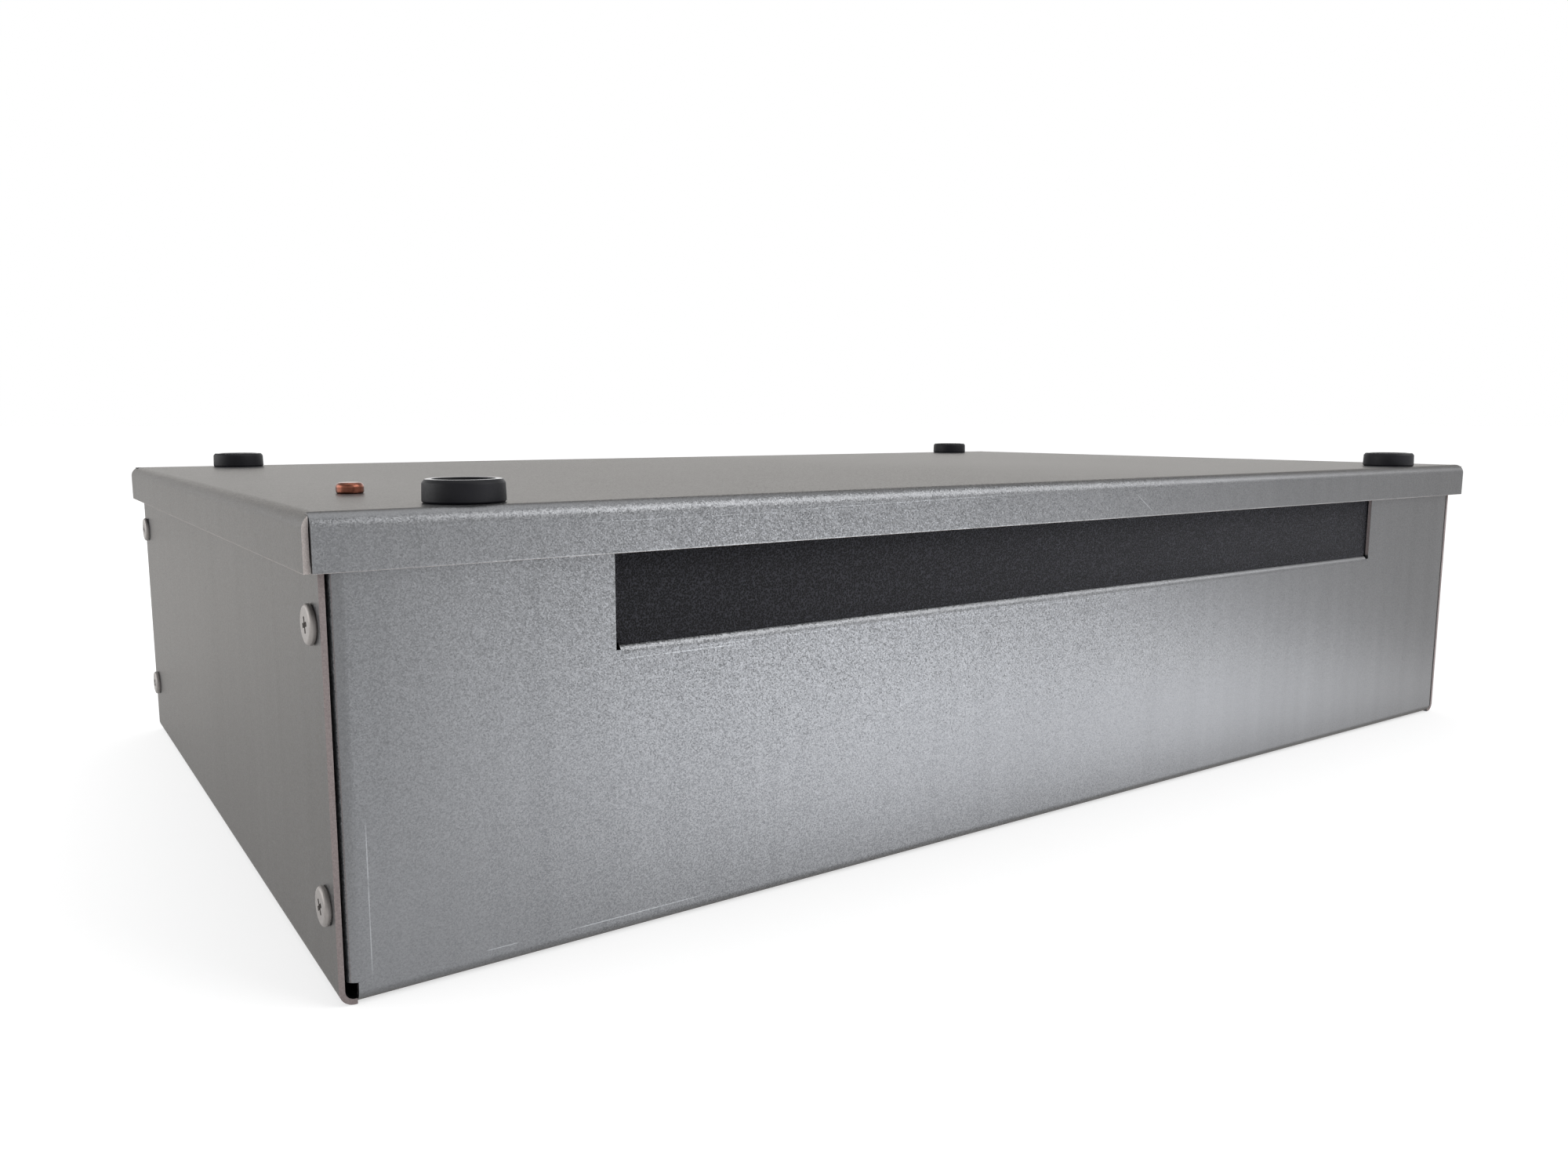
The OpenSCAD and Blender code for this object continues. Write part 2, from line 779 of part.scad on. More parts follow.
// Bar in the groove that joins a run of like terminals
module bridge(first, count) {
    color(brass)
        difference() {
            translate([row_x + (first - 1 / 2) * pitch + term_gap, rail_y - bridge_w / 2, lip_z + groove_z])
                cube([count * pitch - 2 * term_gap, bridge_w, bridge_t]);
            for (i = [first:first + count - 1])
                translate([row_x + i * pitch, rail_y, lip_z + groove_z - past])
                    cylinder(d = clamp_thread + screw_play, h = bridge_t + 2 * past);
        }
}

// Screws through the bridge bars into the current bars
module bridge_screws() {
    color(brass)
        for (i = [0:line_count + neutral_count - 1])
            translate([row_x + i * pitch, rail_y, lip_z + groove_z + bridge_t])
                slot_screw(groove_z + bridge_t - current_z);
}

// Middle of the end stop on one side; side is -1 or 1
function stop_x(side) = side * (row_end + stop_t / 2) + (side > 0 ? plate_t + term_gap : 0);

// Block that holds the end of the terminal row
module end_stop(side) {
    face = rail_w / 2 + claw_gap + claw_w;
    color("#55585c")
        translate([stop_x(side), rail_y, lip_z])
            difference() {
                along_x(-stop_t / 2, stop_t / 2) {
                    polygon([[-face, 0], [face, 0], [face, stop_h / 2], [face / 2, stop_h],
                        [-face / 2, stop_h], [-face, stop_h / 2]]);
                    claws();
                }
                translate([0, 0, stop_h - well_h]) cylinder(d = well_d, h = well_h + past);
                translate([0, 0, -past]) cylinder(d = clamp_thread + screw_play, h = stop_h);
            }
}

// Screws in the end stops, which press on the rail's floor
module stop_screws() {
    color(bright)
        for (side = [-1, 1])
            translate([stop_x(side), rail_y, lip_z + stop_h - well_h])
                slot_screw(stop_h - well_h + rail_h - rail_t);
}

module tie_bar() {
    tail = bracket_t + clip_t + thread_past;
    color(bright)
        translate([0, bar_at, bar_z])
            rotate([0, 90, 0]) {
                translate([0, 0, -bar_x]) cylinder(d = bar_d, h = 2 * bar_x);
                translate([0, 0, -bar_x - tail]) cylinder(d = pivot_d, h = 2 * (bar_x + tail));
            }
}

// Folded bracket on the floor with a hole for the bar's end; side is -1 or 1
module tie_bracket(side) {
    color(zinc)
        mirror([side > 0 ? 0 : 1, 0, 0])
            difference() {
                translate([bar_x, 0, floor_z])
                    along_y(bar_at - bracket_w / 2, bar_at + bracket_w / 2)
                        fold_section(bracket_foot, bar_z - floor_z + bracket_rim, bracket_t, sill_r);
                translate([bar_x - past, bar_at, bar_z])
                    rotate([0, 90, 0])
                        cylinder(d = pivot_d + 2 * pivot_play, h = bracket_t + 2 * past);
                translate([bracket_stud_x, bar_at, floor_z - past])
                    cylinder(d = screw_d + 2 * hole_play, h = bracket_t + 2 * past);
            }
}

module bracket_studs() {
    color(bright)
        both_sides()
            translate([bracket_stud_x, bar_at, floor_z])
                cylinder(d = screw_d, h = bracket_t + nut_share * screw_d + thread_past);
}

module bracket_nuts() {
    color(bright)
        both_sides()
            translate([bracket_stud_x, bar_at, floor_z + bracket_t]) nut(screw_d);
}

module bar_clips() {
    color(bright)
        both_sides()
            translate([bar_x + bracket_t, bar_at, bar_z])
                rotate([0, 90, 0])
                    difference() {
                        cylinder(d = clip_d, h = clip_t);
                        translate([0, 0, -past])
                            cylinder(d = pivot_d + 2 * nut_play, h = clip_t + 2 * past);
                    }
}

module earth_stud() {
    color(brass)
        translate([earth_at.x, earth_at.y, floor_z]) cylinder(d = earth_d, h = earth_l);
}

// Two washers between the two nuts, where an earth lug is clamped
module earth_washers() {
    color(brass)
        for (i = [0, 1])
            translate([earth_at.x, earth_at.y, floor_z + nut_share * earth_d + i * (washer_t + lug_gap)])
                washer(earth_d);
}

module earth_nuts() {
    color(brass)
        for (z = [0, nut_share * earth_d + 2 * washer_t + lug_gap])
            translate([earth_at.x, earth_at.y, floor_z + z]) nut(earth_d);
}

base_tray();
lid();
foam_strip();
for (i = [0:len(foot_names) - 1])
    foot(foot_places[i]);
foot_screws();
foot_nuts();
copper_stud();
copper_stud_washer();
copper_stud_nut();
side_screws(-1);  // side_screws_left
side_screws(1);  // side_screws_right
terminal_rail();
rail_studs();
rail_nuts();
end_stop(-1);  // end_stop_left
end_stop(1);  // end_stop_right
for (i = [0:line_count - 1])
    color("#74777b") terminal(i);
for (i = [0:neutral_count - 1])
    color("#3f6fae") terminal(line_count + i);
for (i = [0:earth_count - 1])
    color("#7f9a3c") terminal(line_count + neutral_count + i);
end_plate();
clamp_cages();
current_bars();
clamp_screws();
stop_screws();
bridge(0, line_count);  // line_bridge
bridge(line_count, neutral_count);  // neutral_bridge
bridge_screws();
tie_bar();
tie_bracket(-1);  // tie_bracket_left
tie_bracket(1);  // tie_bracket_right
bracket_studs();
bracket_nuts();
bar_clips();
earth_stud();
earth_washers();
earth_nuts();
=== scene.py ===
import math

import bmesh
import bpy
from mathutils import Matrix, Vector, noise


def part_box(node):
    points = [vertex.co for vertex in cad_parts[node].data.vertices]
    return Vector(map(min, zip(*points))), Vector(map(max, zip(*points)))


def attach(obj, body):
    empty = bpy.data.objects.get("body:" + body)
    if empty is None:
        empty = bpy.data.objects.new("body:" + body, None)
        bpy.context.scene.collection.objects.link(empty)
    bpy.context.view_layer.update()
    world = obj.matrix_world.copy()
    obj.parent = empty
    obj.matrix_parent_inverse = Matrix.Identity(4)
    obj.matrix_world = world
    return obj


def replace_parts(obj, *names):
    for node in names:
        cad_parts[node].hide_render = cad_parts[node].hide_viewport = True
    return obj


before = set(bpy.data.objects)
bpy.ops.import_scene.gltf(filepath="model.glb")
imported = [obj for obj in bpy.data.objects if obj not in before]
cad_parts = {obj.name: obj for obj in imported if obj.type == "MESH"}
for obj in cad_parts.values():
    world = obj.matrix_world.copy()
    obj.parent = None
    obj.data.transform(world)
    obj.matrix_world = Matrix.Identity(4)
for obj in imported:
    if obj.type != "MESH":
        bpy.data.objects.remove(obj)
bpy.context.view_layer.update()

# Base tray
# One sheet of zinc-coated steel, cut flat and folded up on all four sides, with flanges inside the side
# walls and a cable slot in the front. Its cut edges are bare, and folding left thin bright lines on it.
MM = 0.001
tray_low, tray_high = (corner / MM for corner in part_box("base_tray"))
edge_setback = 0.9
sheet_t = 1.2
slot_margin = 60.8
slot_shift = 2.0
slot_floor = 67.7
slot_x = tray_high.x - slot_margin


def linear(hex_colour):
    """An sRGB hex colour as linear RGBA."""
    channels = [int(hex_colour[i:i + 2], 16) / 255 for i in (1, 3, 5)]
    return [c / 12.92 if c <= 0.04045 else ((c + 0.055) / 1.055) ** 2.4 for c in channels] + [1]


def add_node(tree, kind, inputs=None, **settings):
    """Adds a node. Inputs are values for its sockets, or the sockets that feed them."""
    node = tree.nodes.new(kind)
    for name, value in settings.items():
        setattr(node, name, value)
    for name, value in (inputs or {}).items():
        if isinstance(value, bpy.types.NodeSocket):
            tree.links.new(value, node.inputs[name])
        else:
            node.inputs[name].default_value = value
    return node


def new_material(name, **shader_values):
    """A material with one shader, whose patterns read the object's own coordinates in millimetres."""
    material = bpy.data.materials.new(name)
    material.use_nodes = True
    tree = material.node_tree
    tree.nodes.clear()
    shader = add_node(tree, "ShaderNodeBsdfPrincipled", shader_values)
    add_node(tree, "ShaderNodeOutputMaterial", {"Surface": shader.outputs[0]})
    metres = add_node(tree, "ShaderNodeTexCoord").outputs["Object"]
    place = add_node(tree, "ShaderNodeVectorMath", {0: metres, "Scale": 1 / MM}, operation="SCALE").outputs[0]
    return material, tree, shader, place


def dress(material, *nodes):
    """Gives CAD nodes a finish."""
    for node in nodes:
        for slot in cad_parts[node].material_slots:
            slot.material = material


def within(tree, place, middle, half, sharpness):
    """A mask that is 1 inside a box and falls to 0 at its faces, faster where sharpness is higher."""
    away = add_node(tree, "ShaderNodeVectorMath", {0: place, 1: middle}, operation="SUBTRACT").outputs[0]
    away = add_node(tree, "ShaderNodeVectorMath", {0: away}, operation="ABSOLUTE").outputs[0]
    share = add_node(tree, "ShaderNodeVectorMath", {0: away, 1: half}, operation="DIVIDE").outputs[0]
    left = add_node(tree, "ShaderNodeVectorMath", {0: (1, 1, 1), 1: share}, operation="SUBTRACT").outputs[0]
    left = add_node(tree, "ShaderNodeVectorMath", {0: left, 1: sharpness}, operation="MULTIPLY").outputs[0]
    x, y, z = add_node(tree, "ShaderNodeSeparateXYZ", {0: left}).outputs
    least = add_node(tree, "ShaderNodeMath", {0: x, 1: y}, operation="MINIMUM").outputs[0]
    return add_node(tree, "ShaderNodeMath", {0: least, 1: z}, operation="MINIMUM", use_clamp=True).outputs[0]


def strongest(tree, masks):
    """The strongest of several masks at each point."""
    top = masks[0]
    for mask in masks[1:]:
        top = add_node(tree, "ShaderNodeMath", {0: top, 1: mask}, operation="MAXIMUM").outputs[0]
    return top


def zinc_sheet(name, marks, bare_edges, bare_colours):
    """Zinc-coated steel sheet, skin-passed to a fine matt grain: grey crystals that glint one by one, their
    tones partly painted glint, faint rolling streaks, thin bright lines where folding tools pressed, and
    rough bare steel on the cut edges."""
    # Grain and crystals are drawn coarser than on the real sheet, so that they show.
    grain_mm = 0.35
    grain_depth_mm = 0.02
    crystal_mm = 0.26
    crystal_tilt = 0.16
    streak_mm = 5.0
    streak_length_mm = 240.0
    cloud_mm = 110.0
    broken_mm = 7.0
    wide = 4000.0
    line_sharpness = (3, 50, 1.5)
    edge_sharpness = (100, 100, 100)
    bare_roughness = 0.75
    material, tree, shader, place = new_material(
        name, **{"Metallic": 1.0, "Specular Tint": linear("#ccc8c3")})
    grain = add_node(tree, "ShaderNodeTexNoise", {
        "Vector": place, "Scale": 1 / grain_mm, "Detail": 1.5, "Roughness": 0.6}).outputs["Fac"]
    facet = add_node(tree, "ShaderNodeTexVoronoi", {
        "Vector": place, "Scale": 1 / crystal_mm}).outputs["Color"]
    crystal = add_node(tree, "ShaderNodeSeparateColor", {0: facet}).outputs[0]
    stretched = add_node(tree, "ShaderNodeMapping", {
        "Vector": place, "Scale": (1 / streak_mm, 1 / streak_mm, 1 / streak_length_mm)}).outputs[0]
    streak = add_node(tree, "ShaderNodeTexNoise", {
        "Vector": stretched, "Scale": 1.0, "Detail": 2.0}).outputs["Fac"]
    cloud = add_node(tree, "ShaderNodeTexNoise", {
        "Vector": place, "Scale": 1 / cloud_mm, "Detail": 2.0}).outputs["Fac"]

    # The grain's and crystals' tones and tilts are strongest left of the middle and weaker towards both ends.
    # The tones are partly the sheet's own grain and partly painted glint, strongest where the sheet glints
    # most.
    faint = 0.35
    left_end, clear_from = -215.0, -95.0
    clear_to, right_end = -20.0, 100.0
    along = add_node(tree, "ShaderNodeSeparateXYZ", {0: place}).outputs["X"]
    rise = add_node(tree, "ShaderNodeMapRange", {
        "Value": along, "From Min": left_end, "From Max": clear_from, "To Min": faint},
        interpolation_type="SMOOTHSTEP").outputs[0]
    fall = add_node(tree, "ShaderNodeMapRange", {
        "Value": along, "From Min": clear_to, "From Max": right_end, "To Min": 1.0, "To Max": faint},
        interpolation_type="SMOOTHSTEP").outputs[0]
    clear = add_node(tree, "ShaderNodeMath", {0: rise, 1: fall}, operation="MULTIPLY").outputs[0]

    # The grain and crystal tones, faded along X, are partly painted glint.
    tone = 0.5
    for pattern, share, fades in ((grain, 1.6, True), (crystal, 1.2, True), (streak, 0.25, False),
                                  (cloud, 0.3, False)):
        part = add_node(tree, "ShaderNodeMath", {0: pattern, 1: 0.5}, operation="SUBTRACT").outputs[0]
        if fades:
            part = add_node(tree, "ShaderNodeMath", {0: part, 1: clear}, operation="MULTIPLY").outputs[0]
        tone = add_node(tree, "ShaderNodeMath", {
            0: part, 1: share, 2: tone}, operation="MULTIPLY_ADD").outputs[0]
    colour = add_node(tree, "ShaderNodeMix", {"Factor": tone, 6: linear("#636466"), 7: linear("#828385")},
                      data_type="RGBA").outputs[2]
    rough = add_node(tree, "ShaderNodeMapRange", {
        "Value": crystal, "To Min": 0.32, "To Max": 0.44}).outputs[0]

    # A mark is given by its middle, half its length, half its width, its lean in degrees and its strength.
    lines = []
    broken = add_node(tree, "ShaderNodeTexNoise", {
        "Vector": place, "Scale": 1 / broken_mm, "Detail": 3.0}).outputs["Fac"]
    broken = add_node(tree, "ShaderNodeMapRange", {
        "Value": broken, "From Min": 0.2, "From Max": 0.5}).outputs[0]
    for middle, half_length, half_width, lean, strength in marks:
        turned = add_node(tree, "ShaderNodeVectorRotate", {
            "Vector": place, "Center": middle, "Angle": math.radians(lean)},
            rotation_type="Y_AXIS").outputs[0]
        line = within(tree, turned, middle, (half_length, sheet_t / 2, half_width), line_sharpness)
        line = add_node(tree, "ShaderNodeMath", {0: line, 1: strength}, operation="MULTIPLY").outputs[0]
        lines.append(line)
    pressed = strongest(tree, lines)
    pressed = add_node(tree, "ShaderNodeMath", {0: pressed, 1: broken}, operation="MULTIPLY").outputs[0]
    colour = add_node(tree, "ShaderNodeMix", {"Factor": pressed, 6: colour, 7: linear("#dcdfe2")},
                      data_type="RGBA").outputs[2]

    # A bare edge is given by its middle and half its size, mirrored left to right and front to back. None
    # runs right through the sheet.
    mirrored = add_node(tree, "ShaderNodeVectorMath", {0: place}, operation="ABSOLUTE").outputs[0]
    cut = strongest(tree, [within(tree, mirrored, middle, [h or wide for h in half], edge_sharpness)
                           for middle, half in bare_edges])
    dark, light = (linear(hex_colour) for hex_colour in bare_colours)
    torn = add_node(tree, "ShaderNodeMix", {"Factor": grain, 6: dark, 7: light}, data_type="RGBA").outputs[2]
    colour = add_node(tree, "ShaderNodeMix", {"Factor": cut, 6: colour, 7: torn}, data_type="RGBA").outputs[2]
    rough = add_node(tree, "ShaderNodeMix", {0: cut, 2: rough, 3: bare_roughness}).outputs[0]

    upright = add_node(tree, "ShaderNodeNewGeometry").outputs["Normal"]
    tilt = add_node(tree, "ShaderNodeVectorMath", {
        0: facet, 1: (0.5, 0.5, 0.5)}, operation="SUBTRACT").outputs[0]
    most = add_node(tree, "ShaderNodeMath", {0: clear, 1: 2 * crystal_tilt}, operation="MULTIPLY").outputs[0]
    tilt = add_node(tree, "ShaderNodeVectorMath", {0: tilt, "Scale": most}, operation="SCALE").outputs[0]
    leaning = add_node(tree, "ShaderNodeVectorMath", {0: upright, 1: tilt}, operation="ADD").outputs[0]
    leaning = add_node(tree, "ShaderNodeVectorMath", {0: leaning}, operation="NORMALIZE").outputs[0]
    bump = add_node(tree, "ShaderNodeBump", {
        "Height": grain, "Distance": grain_depth_mm * MM, "Normal": leaning})
    tree.links.new(colour, shader.inputs["Base Color"])
    tree.links.new(rough, shader.inputs["Roughness"])
    tree.links.new(bump.outputs[0], shader.inputs["Normal"])
    return material


hair = 0.05
tray_face = tray_low.y
tray_marks = [
    ((tray_low.x + 6.5, tray_face, 22), 17, 0.15, 90, 0.22),
    ((-136, tray_face, slot_floor - 3.4), 18, 0.15, 0, 0.20),
    ((-112, tray_face, slot_floor - 2.7), 24, 0.12, 0, 0.14),
    ((-20, tray_face, slot_floor - 3.1), 66, 0.12, 0, 0.10),
    ((-150, tray_face, 4.1), 19, 0.15, 0, 0.28),
    ((-183, tray_face, 4.4), 4, 0.14, 0, 0.24),
]
slot_end = (hair, sheet_t / 2 - hair, tray_high.z - slot_floor)
tray_cuts = [
    ((tray_high.x, tray_high.y - edge_setback, 0), (4, hair, None)),
    ((0, 0, tray_high.z), (None, None, hair)),
    ((slot_x - slot_shift, tray_high.y - sheet_t / 2, tray_high.z), slot_end),
    ((slot_x + slot_shift, tray_high.y - sheet_t / 2, tray_high.z), slot_end),
]
tray_zinc = zinc_sheet("zinc_sheet_tray", tray_marks, tray_cuts, ("#746c6b", "#9a9190"))
dress(tray_zinc, "base_tray")

# Lid
# A second folded sheet of zinc-coated steel with a skirt on each side, open at the corners. It lies loose
# on the tray's walls, and a thin light line is painted along its cut lower edge.
lid_low, lid_high = (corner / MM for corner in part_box("lid"))
lid_face = lid_low.y
skirt_setback = 1.0
lid_marks = [
    ((-138, lid_face, lid_high.z - 4.5), 27, 0.13, 0, 0.15),
    ((-68, lid_face, lid_high.z - 3.5), 45, 0.13, 0.8, 0.17),
    ((23, lid_face, 92.6), 5, 0.13, -35, 0.25),
    # A thin light line painted along the skirt's lower edge.
    ((0, lid_face, lid_low.z + 0.12), lid_high.x - 2, 0.18, 0, 0.22),
]
lid_cuts = [
    ((lid_high.x, lid_high.y - skirt_setback, 0), (sheet_t + hair, hair, None)),
    ((0, 0, lid_low.z), (None, None, hair)),
]
dress(zinc_sheet("zinc_sheet_lid", lid_marks, lid_cuts, ("#99928f", "#c3bdbb")), "lid")

# Rubber feet
# Four rings moulded in black rubber, each with a bevelled rim and a wide recess for the head of the screw
# that holds it on the lid.
foot_names = ["front_left", "rear_left", "front_right", "rear_right"]
foot_steps = 72
foot_flare = 0.12
foot_bevel = 0.8
foot_base_bevel = 0.4
foot_recess_r = 6.65
foot_recess_h = 3.2
foot_hole_r = 2.2
foot_rounding = 0.14
foot_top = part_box("foot_front_left")[1].z / MM
merge_mm = 0.001


def vary(tree, shader, tone, colours, grain, roughness):
    """Mottles a finish: one pattern moves its colour between two hex values, another its roughness between
    two numbers. Returns both, for layers that go over them."""
    dark, light = (linear(hex_colour) for hex_colour in colours)
    colour = add_node(tree, "ShaderNodeMix", {"Factor": tone, 6: dark, 7: light}, data_type="RGBA").outputs[2]
    smooth, dull = roughness
    rough = add_node(tree, "ShaderNodeMapRange", {
        "Value": grain, "To Min": smooth, "To Max": dull}).outputs[0]
    tree.links.new(colour, shader.inputs["Base Color"])
    tree.links.new(rough, shader.inputs["Roughness"])
    return colour, rough


# Moulded rubber is satin black with a little dust, and shinier on the rim's top, where it is worn. Its skin
# is drawn coarser than it is, so that it shows.
skin_mm = 0.6
skin_depth_mm = 0.04
dust_mm = 6.0
worn_from, worn_to = foot_top - 0.12, foot_top - 0.04
worn_roughness = 0.2
rubber, tree, shader, place = new_material("moulded_rubber", **{"Specular IOR Level": 0.2})
skin = add_node(tree, "ShaderNodeTexNoise", {
    "Vector": place, "Scale": 1 / skin_mm, "Detail": 3.0}).outputs["Fac"]
dust = add_node(tree, "ShaderNodeTexNoise", {
    "Vector": place, "Scale": 1 / dust_mm, "Detail": 4.0}).outputs["Fac"]
_, rough = vary(tree, shader, dust, ("#09090d", "#111117"), skin, (0.42, 0.62))
height = add_node(tree, "ShaderNodeSeparateXYZ", {0: place}).outputs["Z"]
worn = add_node(tree, "ShaderNodeMapRange", {
    "Value": height, "From Min": worn_from, "From Max": worn_to}).outputs[0]
rough = add_node(tree, "ShaderNodeMix", {0: worn, 2: rough, 3: worn_roughness}).outputs[0]
bump = add_node(tree, "ShaderNodeBump", {"Height": skin, "Strength": 0.3, "Distance": skin_depth_mm * MM})
tree.links.new(rough, shader.inputs["Roughness"])
tree.links.new(bump.outputs[0], shader.inputs["Normal"])


def turned_ring(bm, outline, middle, steps):
    """Turns a closed outline of (radius, height) points about the upright line through middle."""
    points = [bm.verts.new(middle + Vector((r, 0, z)) * MM) for r, z in outline]
    edges = [bm.edges.new((a, b)) for a, b in zip(points, points[1:] + points[:1])]
    bmesh.ops.spin(bm, geom=points + edges, cent=middle, axis=(0, 0, 1), angle=2 * math.pi, steps=steps,
                   use_merge=True)
    bmesh.ops.remove_doubles(bm, verts=bm.verts, dist=merge_mm * MM)
    bmesh.ops.recalc_face_normals(bm, faces=bm.faces)


def soften(bm, width_mm, segments, least_angle=25):
    """Rounds the edges that turn by more than least_angle degrees."""
    sharp = [e for e in bm.edges if e.is_manifold and e.calc_face_angle() > math.radians(least_angle)]
    bmesh.ops.bevel(bm, geom=sharp, offset=width_mm * MM, segments=segments, profile=0.5, affect="EDGES",
                    material=-1)


def new_piece(bm, name, material, body, flat=False):
    """A finished mesh that rides on a body, with smooth or flat shading."""
    mesh = bpy.data.meshes.new(name)
    bm.to_mesh(mesh)
    bm.free()
    if not flat:
        mesh.shade_smooth()
    mesh.materials.append(material)
    piece = bpy.data.objects.new(name, mesh)
    bpy.context.scene.collection.objects.link(piece)
    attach(piece, body)
    return piece


for foot_name in foot_names:
    node = "foot_" + foot_name
    low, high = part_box(node)
    seat = Vector(((low.x + high.x) / 2, (low.y + high.y) / 2, low.z))
    foot_r = (high.x - low.x) / 2 / MM
    foot_h = (high.z - low.z) / MM
    foot_outline = [
        (foot_hole_r, 0),
        (foot_r - foot_base_bevel, 0),
        (foot_r, foot_base_bevel),
        (foot_r - foot_flare, foot_h - foot_bevel),
        (foot_r - foot_bevel, foot_h),
        (foot_recess_r, foot_h),
        (foot_recess_r, foot_h - foot_recess_h),
        (foot_hole_r, foot_h - foot_recess_h),
    ]
    bm = bmesh.new()
    turned_ring(bm, foot_outline, seat, foot_steps)
    soften(bm, foot_rounding, 3)
    foot = new_piece(bm, "rubber_" + node, rubber, "lid")
    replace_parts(foot, node)

# Foam strip
# A bar of soft black open-cell foam, cut from a block and glued on the sill, which cables press into. Its
# front is a little slack, and its lower front edge hangs a little over the sill inside the slot.
cell_mm = 0.45
cell_wall_mm = 0.3
cell_depth_mm = 0.25
pore_depth_mm = 0.22
sag_mm = 0.5
slack_mm = 40.0
seat_mm = 4.0
droop_mm = 3.0
droop = Vector((0, -0.6, -0.5))
slot_clear = 1.0
step_mm = 1.0
foam_rounding = 0.35
foam_low, foam_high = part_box("foam_strip")
foam_size = foam_high - foam_low
foam_middle = (foam_low + foam_high) / 2

# Open-cell foam is dull black. Its pores are painted darker than the thin cell walls around them, as painted
# shade in the holes.
foam, tree, shader, place = new_material("open_cell_foam", **{"Specular IOR Level": 0.25, "Roughness": 0.9})
cells = add_node(tree, "ShaderNodeTexVoronoi", {"Vector": place, "Scale": 1 / cell_mm}).outputs["Distance"]
fine = add_node(tree, "ShaderNodeTexNoise", {
    "Vector": place, "Scale": 1 / cell_wall_mm, "Detail": 2.0, "Roughness": 0.7}).outputs["Fac"]
walls_and_pore_shade = add_node(tree, "ShaderNodeMath", {0: cells, 1: fine}, operation="MULTIPLY").outputs[0]
walls_and_pore_shade = add_node(tree, "ShaderNodeMapRange", {"Value": walls_and_pore_shade, "From Min": 0.15, "From Max": 0.42}).outputs[0]
# Pores painted darker than the cell walls: painted shade in the holes.
colour = add_node(tree, "ShaderNodeMix", {"Factor": walls_and_pore_shade, 6: linear("#08080a"), 7: linear("#2f2f34")},
                  data_type="RGBA").outputs[2]
bump = add_node(tree, "ShaderNodeBump", {"Height": walls_and_pore_shade, "Strength": 0.9, "Distance": cell_depth_mm * MM})
tree.links.new(colour, shader.inputs["Base Color"])
tree.links.new(bump.outputs[0], shader.inputs["Normal"])

bm = bmesh.new()
bmesh.ops.create_cube(bm, size=1, matrix=Matrix.Translation(foam_middle) @ Matrix.Diagonal((*foam_size, 1)))
soften(bm, foam_rounding, 2)
for axis in range(3):
    normal = Vector([float(i == axis) for i in range(3)])
    for i in range(1, round(foam_size[axis] / MM / step_mm)):
        geometry = bm.verts[:] + bm.edges[:] + bm.faces[:]
        cut_at = foam_low + normal * (i * step_mm * MM)
        bmesh.ops.bisect_plane(bm, geom=geometry, plane_co=cut_at, plane_no=normal)
bm.normal_update()
for vert in bm.verts:
    pore = min(noise.noise(vert.co / (cell_mm * MM)), 0)
    slack = (noise.noise(vert.co / (slack_mm * MM)) + 1) / 2
    free = min((vert.co.z - foam_low.z) / (seat_mm * MM), 1)
    low = max(1 - (vert.co.z - foam_low.z) / (droop_mm * MM), 0)
    front = max(1 - (vert.co.y - foam_low.y) / (droop_mm * MM), 0)
    in_slot = abs(vert.co.x / MM - slot_shift) < slot_x - slot_clear
    vert.co += vert.normal * MM * free * (pore_depth_mm * pore - sag_mm * slack)
    vert.co += droop * MM * low * front * in_slot
foam_piece = new_piece(bm, "cable_foam", foam, "case")
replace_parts(foam_piece, "foam_strip")

# Screws, studs and nuts of bright zinc-plated steel
# Pan-head screws with a cross recess hold the corners and the feet. Weld studs with threads and plain nuts
# hold what stands on the floor. The tie bar, its clips and the clamp cages are plated too.
plating_mm = 0.7

# Bright plating is a pale satin grey, and its clouds are drawn coarser than they are.
bright, tree, shader, place = new_material("bright_zinc_plating", **{"Metallic": 1.0})
plating = add_node(tree, "ShaderNodeTexNoise", {
    "Vector": place, "Scale": 1 / plating_mm, "Detail": 3.0}).outputs["Fac"]
vary(tree, shader, plating, ("#807c7a", "#9b9794"), plating, (0.45, 0.65))
dress(bright, "side_screws_left", "side_screws_right", "foot_screws", "foot_nuts", "copper_stud_washer",
      "copper_stud_nut", "rail_nuts", "tie_bar", "bracket_nuts", "bar_clips", "clamp_cages", "stop_screws")


